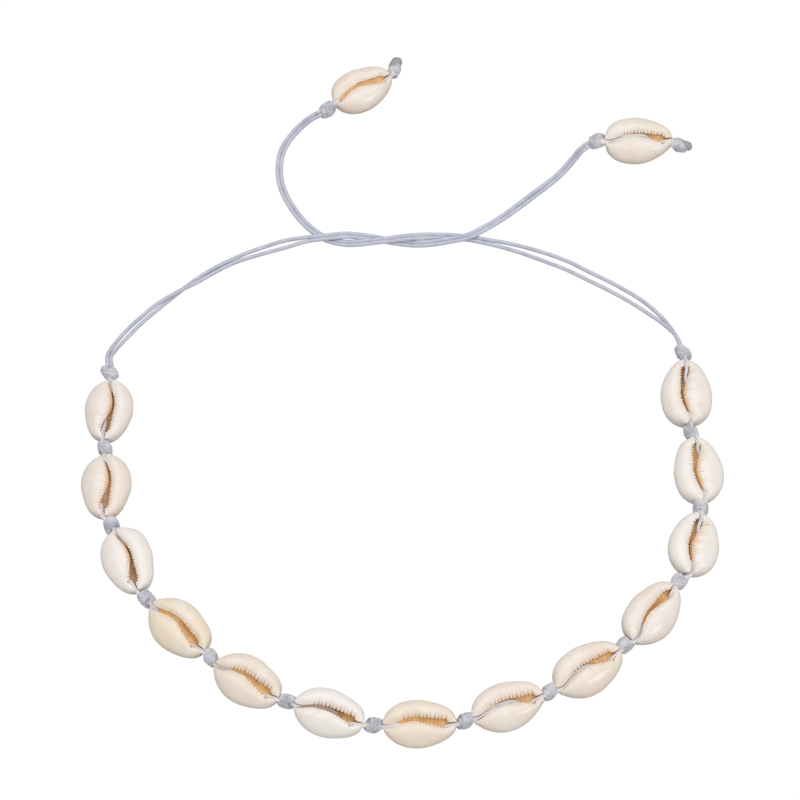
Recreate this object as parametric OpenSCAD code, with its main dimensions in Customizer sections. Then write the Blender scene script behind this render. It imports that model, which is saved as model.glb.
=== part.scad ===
// Cowrie shell necklace laid flat: thirteen shells knotted on a doubled cord, closed by
// two ties that twist round each other and end in a shell each.
// Millimetres. It rests on z = 0 with the apertures up, and the wearer's front is at -Y.

/* [Shells] */
// Height of a shell over its width
height_ratio = 0.74; // [0.7:0.01:0.78]
// Share of the height on the aperture's side of the widest line
base_share = 0.34; // [0.3:0.01:0.38]
// How much broader the rounded end is than the end with the wide gap
egg = 0.09; // [0.04:0.01:0.12]
// Width across the canal at each end of a shell
canal_w = 4.4; // [4.3:0.05:4.8]
// Wall at the middle of a shell
wall_mid = 1.3; // [1.1:0.05:1.5]
// Wall at the two canals
wall_end = 0.8; // [0.75:0.05:0.8]
// Width of a rolled lip over half the width of the shell
lip_share = 0.2; // [0.15:0.01:0.22]
// How far the lips drop into the aperture at the middle
lip_drop = 1.1; // [0.8:0.1:1.3]
// Thickness of a lip at its edge
lip_edge = 0.5; // [0.4:0.05:0.6]

/* [Cord and knots] */
// Diameter of one strand of the cord
strand_d = 0.9; // [0.8:0.05:0.9]
// Air between two strands that run side by side
strand_gap = 0.1; // [0.1:0.01:0.12]
// How deep the thread dips inside a shell
thread_dip = 2; // [1:0.1:2.5]
// Diameter of a knot
knot_d = 4; // [3.6:0.1:4.2]
// Greatest length of a knot
knot_l = 4.2; // [3.8:0.1:4.2]
// Radius of the flat where the cord enters a knot
knot_face_r = 1; // [0.9:0.05:1]
// Distance from one wrap of a knot to the next
wrap_pitch = 1.3; // [1:0.1:1.5]
// Depth of the grooves between a knot's wraps, as a share of its bulge
knot_groove = 0.35; // [0.2:0.05:0.5]
// Least air between a knot and the canals on both sides of it
seat_gap = 0.15; // [0.12:0.01:0.3]
// Length of the cut ends that stand out of the last knots
stub_l = 1.6; // [1:0.1:2.5]

/* [Hidden] */
// Shells of the loop in stringing order: [x, y, heading, length, width, roll outwards]
loop_rows = [
    [-75.8, 36.2, -96, 16.4, 12.7, 0],
    [-75.7, 15.0, -91, 16.8, 12.9, 2],
    [-69.3, -5.4, -71, 17.4, 12.9, 5],
    [-55.9, -23.3, -44, 18.0, 13.2, 9],
    [-38.5, -37.4, -31, 18.1, 12.8, 12],
    [-18.1, -46.0, -18, 17.8, 12.4, 13],
    [4.4, -48.7, 1, 18.1, 12.3, 13],
    [26.3, -44.0, 19, 18.4, 12.5, 13],
    [46.4, -34.3, 33, 18.7, 13.0, 12],
    [62.9, -19.3, 54, 18.0, 12.8, 9],
    [74.0, -0.9, 79, 16.4, 13.0, 5],
    [75.7, 19.5, 95, 17.4, 12.9, 2],
    [73.4, 41.0, 92, 17.6, 13.2, 0],
];
// Shells at the ends of the ties, with the same columns: left tie end, right tie end
end_rows = [
    [-10.9, 131.2, 28, 16.8, 12.3, 10],
    [63.0, 115.5, 1, 17.8, 12.8, 10],
];
// Aperture along a shell: [way from the rounded end, centre over half the width, gap]
slot_rows = [
    [0.00, 0.00, 1.3],
    [0.15, 0.06, 1.1],
    [0.30, 0.17, 0.8],
    [0.45, 0.22, 0.8],
    [0.62, 0.15, 1.1],
    [0.75, 0.08, 1.6],
    [0.88, 0.04, 2.1],
    [1.00, 0.00, 1.3],
];
// Knots that end the string: [x, y, heading]
string_knots = [[-75.6, 47.1, 95], [73.0, 52.6, 108]];
// Knots at the end shells: [x, y, heading], the inner one and the last one of each
end_knots = [
    [[-20.0, 124.6, 32], [-1.8, 137.5, 54]],
    [[51.5, 114.9, 30], [74.5, 113.6, -45]],
];
// Tie from the left end of the string to the right end shell: [x, y, z, turn, spread]
tie_left_rows = [
    [-75.8, 49.4, 6.0, 0, 1.0],
    [-76.0, 51.6, 5.5, 0, 1.0],
    [-75.3, 54.5, 3.7, 0, 1.4],
    [-73.8, 57.8, 1.7, 0, 1.8],
    [-71.7, 61.0, 0.6, 0, 2.1],
    [-68.3, 64.8, 0.5, 0, 1.7],
    [-63.7, 68.9, 0.8, 30, 1.2],
    [-59.3, 72.2, 1.1, 90, 1.2],
    [-54.5, 75.8, 0.8, 150, 1.2],
    [-44.6, 82.0, 0.5, 180, 1.2],
    [-36.5, 85.2, 0.5, 180, 1.8],
    [-30.5, 87.0, 0.8, 180, 2.0],
    [-26.0, 87.8, 1.5, 180, 1.3],
    [-20.0, 88.6, 1.6, 180, 1.0],
    [-15.0, 89.2, 1.5, 180, 1.0],
    [-11.5, 89.2, 1.0, 180, 1.0],
    [-8.0, 88.9, 0.5, 180, 1.0],
    [-3.0, 87.9, 0.5, 180, 1.0],
    [3.0, 87.1, 0.5, 180, 1.0],
    [7.5, 87.1, 0.9, 180, 1.0],
    [12.0, 87.5, 1.6, 180, 1.0],
    [18.0, 89.0, 1.6, 180, 1.0],
    [22.0, 91.3, 1.4, 180, 1.0],
    [26.7, 94.8, 0.6, 180, 1.0],
    [31.7, 98.8, 0.5, 180, 1.1],
    [36.6, 102.9, 0.5, 180, 1.1],
    [41.0, 106.6, 0.6, 180, 1.0],
    [43.6, 108.9, 1.6, 180, 1.0],
    [46.0, 111.1, 3.6, 180, 1.0],
    [47.8, 112.6, 5.4, 180, 1.0],
    [49.4, 113.7, 6.0, 180, 1.0],
];
// Tie from the right end of the string to the left end shell, with the same columns
tie_right_rows = [
    [72.3, 55.0, 6.3, 90, 1.0],
    [71.6, 57.3, 5.7, 80, 1.0],
    [70.4, 60.6, 3.2, 50, 1.1],
    [68.0, 64.6, 1.1, 15, 1.4],
    [64.2, 68.3, 0.5, 0, 2.0],
    [56.7, 73.5, 0.5, 0, 2.3],
    [49.0, 77.8, 0.5, 0, 2.3],
    [43.3, 80.9, 0.5, 0, 2.4],
    [37.5, 83.3, 0.5, 0, 2.3],
    [31.7, 85.4, 0.5, 0, 1.9],
    [26.0, 87.0, 0.5, 0, 1.4],
    [22.0, 87.9, 0.5, 0, 1.1],
    [18.0, 88.7, 0.5, 0, 1.0],
    [12.0, 89.3, 0.5, 0, 1.0],
    [7.5, 89.2, 0.9, 0, 1.0],
    [3.0, 88.7, 1.6, 0, 1.0],
    [-3.0, 87.9, 1.6, 0, 1.0],
    [-8.0, 87.3, 1.5, 0, 1.0],
    [-11.5, 87.1, 1.0, 0, 1.0],
    [-15.0, 87.3, 0.5, 0, 1.0],
    [-20.0, 88.6, 0.5, 0, 1.0],
    [-23.0, 90.6, 0.5, 0, 1.0],
    [-26.4, 94.0, 0.5, 0, 1.0],
    [-29.6, 98.7, 0.5, 0, 1.0],
    [-32.0, 104.2, 0.5, 0, 1.0],
    [-32.7, 110.4, 0.5, 0, 1.0],
    [-31.4, 116.2, 0.6, 0, 1.0],
    [-29.2, 119.2, 1.6, 0, 1.0],
    [-26.6, 121.2, 3.4, 0, 1.0],
    [-24.1, 122.4, 5.2, 0, 1.0],
    [-22.1, 123.3, 5.8, 0, 1.0],
];

station_count = 11;
tube_sides = 8;
// The canals' middle line, measured up from the widest line
canal_z = -0.15;
// Places across the top of a shell's two sides, from the lip's crest out to the margin
inner_side_steps = [0.45, 0.8];
outer_side_steps = [0.3, 0.6, 0.85];
// Angles round the back of a shell, from one margin to the other
back_angles = [0, -35, -65, -90, -115, -145, -180];
// Roundness of the aperture's side of a shell, where 2 is an ellipse
top_power = 2.2;
// How blunt the base is towards the canals
base_blunt = 0.6;
// Stations of the thread inside a shell: [way along it from -1 to 1, share of the dip]
thread_rows = [[-1, 0], [-0.45, 0.8], [0.35, 1], [1, 0]];
shell_count = len(loop_rows);
shell_color = [0.96, 0.93, 0.88];
cord_color = [0.77, 0.77, 0.83];

function two_digits(i) = i < 10 ? str("0", i) : str(i);
shell_names = [for (i = [1:shell_count]) str("shell_", two_digits(i))];
knot_names = [for (i = [1:shell_count + 1]) str("knot_", two_digits(i))];
end_shell_names = ["end_shell_left", "end_shell_right"];
end_thread_names = ["end_thread_left", "end_thread_right"];
end_knot_names = [
    ["end_knot_left_inner", "end_knot_left_last"],
    ["end_knot_right_inner", "end_knot_right_last"],
];
tie_names = [["tie_left_a", "tie_left_b"], ["tie_right_a", "tie_right_b"]];

// Form of a shell at c, which runs from -1 at the rounded end to 1 at the other
function taper(w, c) = sqrt(1 - c * c * (1 - pow(canal_w / w, 2)));
function half_w(w, c) = w / 2 * taper(w, c) * (1 - egg * c);
function rise(w, c) = height_ratio * w * base_share * pow(taper(w, c), base_blunt);
function depth(w, c) = height_ratio * w * (1 - base_share) * taper(w, c);
function wall(w, c) =
    let (end = canal_w / w) wall_end + (wall_mid - wall_end) * (taper(w, c) - end) / (1 - end);
function slot_y(w, c) =
    lookup((c + 1) / 2, [for (r = slot_rows) [r[0], r[1]]]) * half_w(w, c);
function slot_gap(c) = lookup((c + 1) / 2, [for (r = slot_rows) [r[0], r[2]]]);
function top_z(y, hw, up) = up * pow(max(0, 1 - pow(abs(y) / hw, top_power)), 1 / top_power);

// One wall of a section from the inner lip round the back to the outer lip, t inside the skin
function wall_points(w, c, t) =
    let (
        hw = half_w(w, c) - t,
        up = rise(w, c) - t,
        down = depth(w, c) - t,
        roll_in = lip_share * half_w(w, c),
        lip_in = slot_y(w, c) + slot_gap(c) / 2,
        lip_out = slot_y(w, c) - slot_gap(c) / 2,
        drop = lip_drop * taper(w, c) + (t > 0 ? lip_edge : 0),
        skin_hw = half_w(w, c),
        skin_up = rise(w, c)
    )
    concat(
        [[lip_in, top_z(lip_in + roll_in, skin_hw, skin_up) - drop]],
        [for (s = concat([0], inner_side_steps))
            let (y = (lip_in + roll_in) * (1 - s) + hw * s) [y, top_z(y, hw, up)]],
        [for (a = back_angles) [hw * cos(a), down * sin(a)]],
        [for (i = [len(outer_side_steps) - 1:-1:0])
            let (s = outer_side_steps[i], y = (lip_out - roll_in) * (1 - s) - hw * s)
            [y, top_z(y, hw, up)]],
        [[lip_out - roll_in, top_z(lip_out - roll_in, hw, up)]],
        [[lip_out, top_z(lip_out - roll_in, skin_hw, skin_up) - drop]]
    );

function station(i) = -cos(180 * i / (station_count - 1));
function ring(w, c) =
    let (outer = wall_points(w, c, 0), inner = wall_points(w, c, wall(w, c)), n = len(outer))
    concat(outer, [for (k = [n - 1:-1:0]) inner[k]]);
function shell_points(row) = [
    for (i = [0:station_count - 1])
        for (p = ring(row[4], station(i))) [station(i) * row[3] / 2, p[0], p[1]]
];
function quad(a, b, c, d) = [[a, b, c], [a, c, d]];
function shell_faces(m) = concat(
    [for (i = [0:station_count - 2]) for (k = [0:m - 1])
        let (n = (k + 1) % m)
        each quad(i * m + k, i * m + n, (i + 1) * m + n, (i + 1) * m + k)],
    [for (k = [0:m / 2 - 2]) each quad(m - 1 - k, m - 2 - k, k + 1, k)],
    [for (k = [0:m / 2 - 2]) let (b = (station_count - 1) * m)
        each quad(b + k, b + k + 1, b + m - 2 - k, b + m - 1 - k)]
);

// Height of a shell's widest line when its back rests on z = 0
function lift(row) = -min([for (p = shell_points(row)) p[1] * sin(row[5]) + p[2] * cos(row[5])]);

// A point of a shell's own frame in the necklace's frame
function placed(row, p) =
    let (
        y = p[1] * cos(row[5]) - p[2] * sin(row[5]),
        z = p[1] * sin(row[5]) + p[2] * cos(row[5])
    )
    [
        row[0] + p[0] * cos(row[2]) - y * sin(row[2]),
        row[1] + p[0] * sin(row[2]) + y * cos(row[2]),
        z + lift(row)
    ];
function canal(row, side) = placed(row, [side * row[3] / 2, 0, canal_z]);
function compass(heading) = [cos(heading), sin(heading)];

module cowrie(row) {
    points = shell_points(row);
    color(shell_color)
        translate([row[0], row[1], lift(row)])
            rotate([0, 0, row[2]])
                rotate([row[5], 0, 0])
                    polyhedron(points, shell_faces(len(points) / station_count));
}

// Outline of a knot: [distance from its axis, place along it], from one face to the other
function knot_side(length) =
    let (wraps = max(2, round(length / wrap_pitch)), steps = 4 * wraps)
    [for (i = [0:steps])
        let (
            s = i / steps,
            bulge = sqrt(1 - pow(abs(2 * s - 1), 3)),
            groove = 1 - knot_groove * (1 - abs(sin(180 * wraps * s)))
        )
        [knot_face_r + (knot_d / 2 - knot_face_r) * bulge * groove, (s - 0.5) * length]];

module knot_at(middle, heading, length) {
    color(cord_color)
        translate(middle)
            rotate([0, 90, heading])
                rotate_extrude($fn = 48)
                    polygon(concat([[0, -length / 2]], knot_side(length), [[0, length / 2]]));
}

// Half the length that a knot at this angle to a shell may have, its middle at this distance
function knot_room(distance, angle) =
    (distance - seat_gap - knot_face_r * abs(sin(angle))) / cos(angle);

// A knot between two shells of the loop, as long as the room between their canals
module knot_between(row_a, row_b) {
    a = canal(row_a, 1);
    b = canal(row_b, -1);
    half = [b[0] - a[0], b[1] - a[1]] / 2;
    way = half / norm(half) + compass(row_a[2]) + compass(row_b[2]);
    heading = atan2(way[1], way[0]);
    room_a = knot_room(half * compass(row_a[2]), heading - row_a[2]);
    room_b = knot_room(half * compass(row_b[2]), heading - row_b[2]);
    middle = (a + b) / 2 + (room_b - room_a) / 2 * concat(compass(heading), 0);
    knot_at(middle, heading, min(knot_l, room_a + room_b));
}

function string_knot_z(i) = canal(loop_rows[i == 0 ? 0 : shell_count - 1], i == 0 ? -1 : 1)[2];

module string_knot(i) {
    k = string_knots[i];
    knot_at([k[0], k[1], string_knot_z(i)], k[2], knot_l);
}

// The inner and the last knot of an end shell; the last one shows two cut strands
module end_knot(i, last) {
    k = end_knots[i][last];
    middle = [k[0], k[1], canal(end_rows[i], last == 0 ? -1 : 1)[2]];
    knot_at(middle, k[2], knot_l);
    if (last == 1)
        color(cord_color)
            translate(middle)
                rotate([0, 90, k[2]])
                    for (side = [-1, 1])
                        translate([0, side * (strand_d + strand_gap) / 2, 0])
                            cylinder(d = strand_d, h = knot_l / 2 + stub_l, $fn = 24);
}

// Rings of a tube along a path, with level sides
function flat_normal(t) = let (h = norm([t[0], t[1]])) [-t[1] / h, t[0] / h, 0];
function tangent(path, i) =
    let (d = path[min(i + 1, len(path) - 1)] - path[max(i - 1, 0)]) d / norm(d);
function tube_points(path, r) = [
    for (i = [0:len(path) - 1])
        let (t = tangent(path, i), n = flat_normal(t), b = cross(t, n))
        for (k = [0:tube_sides - 1])
            let (a = 360 * k / tube_sides) path[i] + r * (cos(a) * n + sin(a) * b)
];
function tube_faces(rings) = concat(
    [for (i = [0:rings - 2]) for (k = [0:tube_sides - 1])
        let (n = (k + 1) % tube_sides, m = tube_sides)
        each quad(i * m + n, i * m + k, (i + 1) * m + k, (i + 1) * m + n)],
    [[for (k = [0:tube_sides - 1]) k]],
    [[for (k = [tube_sides - 1:-1:0]) (rings - 1) * tube_sides + k]]
);
module tube(path) {
    color(cord_color)
        polyhedron(tube_points(path, strand_d / 2), tube_faces(len(path)));
}

// The two strands that run through a shell
function thread_path(row, side) = [
    for (t = thread_rows)
        placed(row, [
            t[0] * (row[3] / 2 - strand_gap),
            side * (strand_d + strand_gap) / 2,
            canal_z - t[1] * thread_dip
        ])
];
module shell_strands(row) {
    for (side = [-1, 1])
        tube(thread_path(row, side));
}
module shell_thread() {
    for (row = loop_rows)
        shell_strands(row);
}

// One strand of a tie: side is 1 or -1
function pair_line(rows) = [for (r = rows) [r[0], r[1], r[2]]];
function strand_path(rows, side) =
    let (line = pair_line(rows))
    [for (i = [0:len(rows) - 1])
        let (t = tangent(line, i), n = flat_normal(t), b = cross(t, n), turn = rows[i][3])
        line[i] + side * rows[i][4] / 2 * (cos(turn) * n + sin(turn) * b)];
module tie_strand(rows, side) {
    tube(strand_path(rows, side));
}

for (i = [0:shell_count - 1])
    cowrie(loop_rows[i]);
for (i = [0:1])
    string_knot(i);
for (i = [1:shell_count - 1])
    knot_between(loop_rows[i - 1], loop_rows[i]);
shell_thread();
for (i = [0:1]) {
    cowrie(end_rows[i]);
    shell_strands(end_rows[i]);
    for (last = [0:1])
        end_knot(i, last);
}
for (s = [0:1]) {
    tie_strand(tie_left_rows, 1 - 2 * s);
    tie_strand(tie_right_rows, 1 - 2 * s);
}
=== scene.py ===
"""Cowrie shell necklace laid flat on a white floor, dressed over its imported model."""
import math
from collections import namedtuple

import bpy
import numpy as np
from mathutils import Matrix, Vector


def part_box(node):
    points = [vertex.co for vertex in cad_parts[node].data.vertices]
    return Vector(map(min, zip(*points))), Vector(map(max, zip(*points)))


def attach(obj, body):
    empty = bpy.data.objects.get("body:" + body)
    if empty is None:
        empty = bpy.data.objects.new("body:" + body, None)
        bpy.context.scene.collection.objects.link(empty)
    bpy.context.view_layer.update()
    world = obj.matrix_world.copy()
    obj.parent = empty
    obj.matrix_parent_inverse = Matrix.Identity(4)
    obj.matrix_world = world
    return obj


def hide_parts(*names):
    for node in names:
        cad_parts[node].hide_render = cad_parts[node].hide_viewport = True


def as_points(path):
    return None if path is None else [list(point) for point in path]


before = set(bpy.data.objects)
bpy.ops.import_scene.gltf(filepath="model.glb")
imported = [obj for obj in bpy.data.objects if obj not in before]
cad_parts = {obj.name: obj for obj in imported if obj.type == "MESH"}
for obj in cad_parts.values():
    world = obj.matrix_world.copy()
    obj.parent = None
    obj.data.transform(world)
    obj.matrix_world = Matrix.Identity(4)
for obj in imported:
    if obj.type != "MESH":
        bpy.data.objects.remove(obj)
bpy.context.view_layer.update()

MM = 0.001

# In the tables and named values below, lengths are millimetres and angles are degrees.

# Tie from the left end of the string to the right end shell: [x, y, z, turn, spread].
# Its two strands lie spread apart about its middle, side by side at turn 0.
TIE_LEFT = [
    [-75.8, 49.4, 6.0, 0, 1.0],
    [-76.0, 51.6, 5.5, 0, 1.0],
    [-75.3, 54.5, 3.7, 0, 1.2],
    [-73.8, 57.8, 1.7, 0, 1.4],
    [-71.7, 61.0, 0.6, 0, 1.5],
    [-68.3, 64.8, 0.5, 0, 1.4],
    [-63.7, 68.9, 0.8, 30, 1.2],
    [-59.3, 72.2, 1.1, 90, 1.2],
    [-54.5, 75.8, 0.8, 150, 1.2],
    [-44.6, 82.0, 0.5, 180, 1.2],
    [-36.5, 85.2, 0.5, 180, 1.8],
    [-30.5, 87.0, 0.8, 180, 2.0],
    [-26.0, 87.8, 1.5, 180, 1.3],
    [-20.0, 88.6, 1.6, 180, 1.0],
    [-15.0, 89.2, 1.5, 180, 1.0],
    [-11.5, 89.2, 1.0, 180, 1.0],
    [-8.0, 88.9, 0.5, 180, 1.0],
    [-3.0, 87.9, 0.5, 180, 1.0],
    [3.0, 87.1, 0.5, 180, 1.0],
    [7.5, 87.1, 0.9, 180, 1.0],
    [12.0, 87.5, 1.6, 180, 1.0],
    [18.0, 89.0, 1.6, 180, 1.0],
    [22.0, 91.3, 1.4, 180, 1.0],
    [26.7, 94.8, 0.6, 180, 1.0],
    [31.7, 98.8, 0.5, 180, 1.1],
    [36.6, 102.9, 0.5, 180, 1.1],
    [41.0, 106.6, 0.6, 180, 1.0],
    [43.6, 108.9, 1.6, 180, 1.0],
    [46.0, 111.1, 3.6, 180, 1.0],
    [47.8, 112.6, 5.4, 180, 1.0],
    [49.4, 113.7, 6.0, 180, 1.0],
]
# Tie from the right end of the string to the left end shell, with the same columns
TIE_RIGHT = [
    [72.3, 55.0, 6.3, 90, 1.0],
    [71.6, 57.3, 5.7, 80, 1.0],
    [70.4, 60.6, 3.2, 50, 1.1],
    [68.0, 64.6, 1.1, 15, 1.4],
    [64.2, 68.3, 0.5, 0, 2.0],
    [56.7, 73.5, 0.5, 0, 2.3],
    [49.0, 77.8, 0.5, 0, 2.3],
    [43.3, 80.9, 0.5, 0, 2.4],
    [37.5, 83.3, 0.5, 0, 2.3],
    [31.7, 85.4, 0.5, 0, 1.9],
    [26.0, 87.0, 0.5, 0, 1.4],
    [22.0, 87.9, 0.5, 0, 1.1],
    [18.0, 88.7, 0.5, 0, 1.0],
    [12.0, 89.3, 0.5, 0, 1.0],
    [7.5, 89.2, 0.9, 0, 1.0],
    [3.0, 88.7, 1.6, 0, 1.0],
    [-3.0, 87.9, 1.6, 0, 1.0],
    [-8.0, 87.3, 1.5, 0, 1.0],
    [-11.5, 87.1, 1.0, 0, 1.0],
    [-15.0, 87.3, 0.5, 0, 1.0],
    [-20.0, 88.6, 0.5, 0, 1.0],
    [-23.0, 90.6, 0.5, 0, 1.0],
    [-26.4, 94.0, 0.5, 0, 1.0],
    [-29.6, 98.7, 0.5, 0, 1.0],
    [-32.0, 104.2, 0.5, 0, 1.0],
    [-32.7, 110.4, 0.5, 0, 1.0],
    [-31.4, 116.2, 0.6, 0, 1.0],
    [-29.2, 119.2, 1.6, 0, 1.0],
    [-26.6, 121.2, 3.4, 0, 1.0],
    [-24.1, 122.4, 5.2, 0, 1.0],
    [-22.1, 123.3, 5.8, 0, 1.0],
]
# Shells of the loop. A shell's heading is that of its pointed end, and its roll is outwards.
Shell = namedtuple("Shell", "x y heading length width roll")
LOOP_SHELLS = [
    Shell(-75.8, 36.2, -96, 16.4, 12.7, 0),
    Shell(-75.7, 15.0, -91, 16.8, 12.9, 2),
    Shell(-69.3, -5.4, -71, 17.4, 12.9, 5),
    Shell(-55.9, -23.3, -44, 18.0, 13.2, 9),
    Shell(-38.5, -37.4, -31, 18.1, 12.8, 12),
    Shell(-18.1, -46.0, -18, 17.8, 12.4, 13),
    Shell(4.4, -48.7, 1, 18.1, 12.3, 13),
    Shell(26.3, -44.0, 19, 18.4, 12.5, 13),
    Shell(46.4, -34.3, 33, 18.7, 13.0, 12),
    Shell(62.9, -19.3, 54, 18.0, 12.8, 9),
    Shell(74.0, -0.9, 79, 16.4, 13.0, 5),
    Shell(75.7, 19.5, 95, 17.4, 12.9, 2),
    Shell(73.4, 41.0, 92, 17.6, 13.2, 0),
]
# Shells at the ends of the ties
END_SHELLS = {
    "left": Shell(-10.9, 131.2, 28, 16.8, 12.3, 10),
    "right": Shell(63.0, 115.5, 1, 17.8, 12.8, 10),
}
# Each shell's form and colours. Shares run from 0 to 1, and places along a shell from -1 at
# its blunt end to 1 at its pointed end.
#   egg                    share by which it widens behind and narrows in front
#   aside, wide            shift to the labral side, factor on the width above
#   slot, open             width of the gap's rear half over the usual one, width added to it
#   depth                  depth of the hollow under the lips
#   notch, ridge           depth of the labral notches, strength of the ridges beside them
#   line, pit              strength of the columellar lines, and of a painted shadow spot at rise
#   yellow, white, golden  share of cream and of white outside, of painted lit gold over painted shaded
#   brown inside
#   lean                   shift of the cord behind to the labral side, over the gap
#   rise, sink             places in front of which and behind which the cord shows
#   smooth, stain     how smoothly the columellar lip rolls in, how much painted shade the cord takes deep in the slot
Look = namedtuple(
    "Look",
    "egg aside wide slot open depth notch ridge line pit yellow white golden "
    "lean rise sink smooth stain",
)
LOOKS = {
    "shell_01": [0.02, 0.3, 1, 0.7, 0, 1.5, 0.20, 0.1, 0.8, 0, 0.1, 0.3, 0.1, 0.3, 0.42, -0.60, 1, 0.8],
    "shell_02": [0.04, 0.2, 1.02, 0.75, 0, 1.3, 0.2, 0.1, 0.8, 0, 0.3, 0.2, 0.2, 0.3, 0.7, -0.76, 1, 0.2],
    "shell_03": [0.04, 0, 1.03, 0.7, 0, 1.9, 0.20, 0.1, 0.7, 1, 0, 0.9, 0.1, 0.3, 0.74, -0.40, 1, 1],
    "shell_04": [0, -0.1, 1, 1.05, 0.25, 1.7, 0.12, 0.6, 0.1, 1, 1, 0, 1, -0.5, 0.72, -0.66, 0, 0.5],
    "shell_05": [0, -0.1, 1, 0.95, 0, 1.5, 0.20, 1.0, 0.2, 1, 0.5, 0.1, 1, -0.5, 0.74, -0.40, 0, 0.5],
    "shell_06": [0.01, 0, 1, 0.85, 0, 1.7, 0.20, 0.9, 0.2, 1, 0, 0.9, 0.8, -0.5, 0.70, 0.40, 0, 1],
    "shell_07": [0, 0, 1, 0.9, 0.15, 1.4, 0.22, 0.8, 0.2, 0, 0.8, 0.1, 1, -0.4, 0.72, -0.50, 0, 0.1],
    "shell_08": [0, -0.1, 1, 1.05, 0, 1.5, 0.20, 1.0, 0.6, 1, 0.4, 0.2, 1, -0.5, 0.70, 0.36, 0, 0.2],
    "shell_09": [0.02, -0.2, 1, 0.9, 0, 1.5, 0.18, 0.7, 0.3, 1, 0.5, 0.1, 1, -0.5, 0.7, 0.15, 0, 0.35],
    "shell_10": [0.04, -0.3, 1, 0.75, 0, 1.6, 0.12, 0.3, 0.3, 0, 0.2, 0.3, 0.9, -0.2, 0.74, -0.45, 0, 0.7],
    "shell_11": [0.03, -0.1, 1.02, 0.9, 0, 1.6, 0.2, 0.1, 1.5, 0, 0.1, 0.9, 0.5, 0.3, 0.44, -0.62, 1, 0.2],
    "shell_12": [0.03, -0.2, 1.01, 0.75, 0, 1.2, 0.22, 0, 1.1, 0, 0.1, 0.8, 0.5, 0.3, 0.54, -0.72, 1, 0.1],
    "shell_13": [0.02, 0, 1.03, 0.8, 0, 1.6, 0.20, 0.1, 1.0, 0, 0.1, 0.5, 0.2, 0.3, 0.34, -0.68, 1, 0.1],
    "end_shell_left": [
        0.02, -0.55, 0.97, 1.0, 0.15, 1.1, 0.01, 0.1, 0.2, 0.6, 0.4, 0, 1, 0.2, 0.76, -0.84, 0, 0,
    ],
    "end_shell_right": [
        0.02, -0.55, 1, 1.0, 0, 1.5, 0.18, 0.6, 0.2, 1, 0.3, 0.2, 0.9, -0.4, 0.72, 0.38, 0, 0.1,
    ],
}
LOOKS = {node: Look(*values) for node, values in LOOKS.items()}
# How much fuller each shell is than the plain form, over half its width:
# [labral side behind, labral in front, columellar side behind, columellar in front]
FULLER = {
    "shell_01": [0, 0, 0, 0.06],
    "shell_02": [0, 0.03, -0.03, 0.05],
    "shell_03": [0.06, 0.08, 0, 0],
    "shell_04": [-0.07, 0.09, -0.08, 0],
    "shell_05": [-0.06, 0.05, -0.06, 0],
    "shell_06": [0, 0.05, -0.04, 0],
    "shell_07": [0, 0.04, -0.04, -0.02],
    "shell_08": [0, 0.04, -0.09, -0.09],
    "shell_09": [0.05, 0.03, -0.1, 0],
    "shell_10": [0.07, 0.03, -0.1, 0],
    "shell_11": [0, 0, 0.05, 0.04],
    "shell_12": [0.05, 0.06, 0, 0],
    "shell_13": [0.06, -0.04, 0.07, 0.03],
    "end_shell_left": [0.06, 0.05, 0, -0.04],
    "end_shell_right": [0.06, 0.02, 0.03, -0.08],
}
# How much the cord swells towards the knots of a shell, as a share of THREAD_R, and within
# what distance: [behind, in front]
FLARE = [0.65, 0.55]
FLARE_REACH = [3.0, 2.2]
FLARES = {
    "shell_01": [0.9, 0.55],
    "shell_02": [1.3, 0.55],
    "end_shell_left": [1.7, 0.94],
    "end_shell_right": [1.1, 0.94],
}
# Knots that end the string and the ties: [x, y, heading]
END_KNOTS = {
    "knot_01": [-75.6, 47.1, 122],
    "knot_14": [73.0, 52.6, 108],
    "end_knot_left_inner": [-20.0, 124.6, 32],
    "end_knot_left_last": [-1.8, 137.5, 54],
    "end_knot_right_inner": [52.0, 114.9, 20],
    "end_knot_right_last": [74.5, 113.6, -45],
}
# Cut ends behind the last knots: [heading, knot's size, end's radius, its reach]
CUT_ENDS = {
    "end_knot_left_last": [74, 0.88, 1.6, 2.1],
    "end_knot_right_last": [-5, 0.98, 1.3, 1.4],
}


# Curves and meshes


def bell(x, width):
    """1 at 0, falling to nothing over about twice the width on both sides."""
    return np.exp(-((x / width) ** 2))


def ramp(x, low, high):
    """0 up to low, 1 from high, and smooth between them."""
    u = np.clip((x - low) / (high - low), 0, 1)
    return u * u * (3 - 2 * u)


def between(x, start, full, fade, end):
    """1 from full to fade, and 0 before start and after end."""
    return ramp(x, start, full) * (1 - ramp(x, fade, end))


def compass(degrees):
    """A heading as a level unit vector."""
    return np.array([math.cos(math.radians(degrees)), math.sin(math.radians(degrees))])


def smooth_line(points, step):
    """A smooth line through the points, with a point about every step."""
    p = np.asarray(points, float)
    gaps = np.linalg.norm(np.diff(p, axis=0), axis=1)
    start = np.concatenate([[0], np.cumsum(gaps)])
    slope = np.diff(p, axis=0) / gaps[:, None]
    way = np.empty_like(p)
    way[0], way[-1] = slope[0], slope[-1]
    before, after = gaps[:-1, None], gaps[1:, None]
    way[1:-1] = (slope[:-1] * after + slope[1:] * before) / (before + after)
    at = np.linspace(0, start[-1], max(4, int(start[-1] / step)))
    i = np.clip(np.searchsorted(start, at, side="right") - 1, 0, len(gaps) - 1)
    h = gaps[i][:, None]
    u = (at - start[i])[:, None] / h
    return (
        (2 * u**3 - 3 * u**2 + 1) * p[i]
        + (u**3 - 2 * u**2 + u) * h * way[i]
        + (3 * u**2 - 2 * u**3) * p[i + 1]
        + (u**3 - u**2) * h * way[i + 1]
    )


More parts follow.
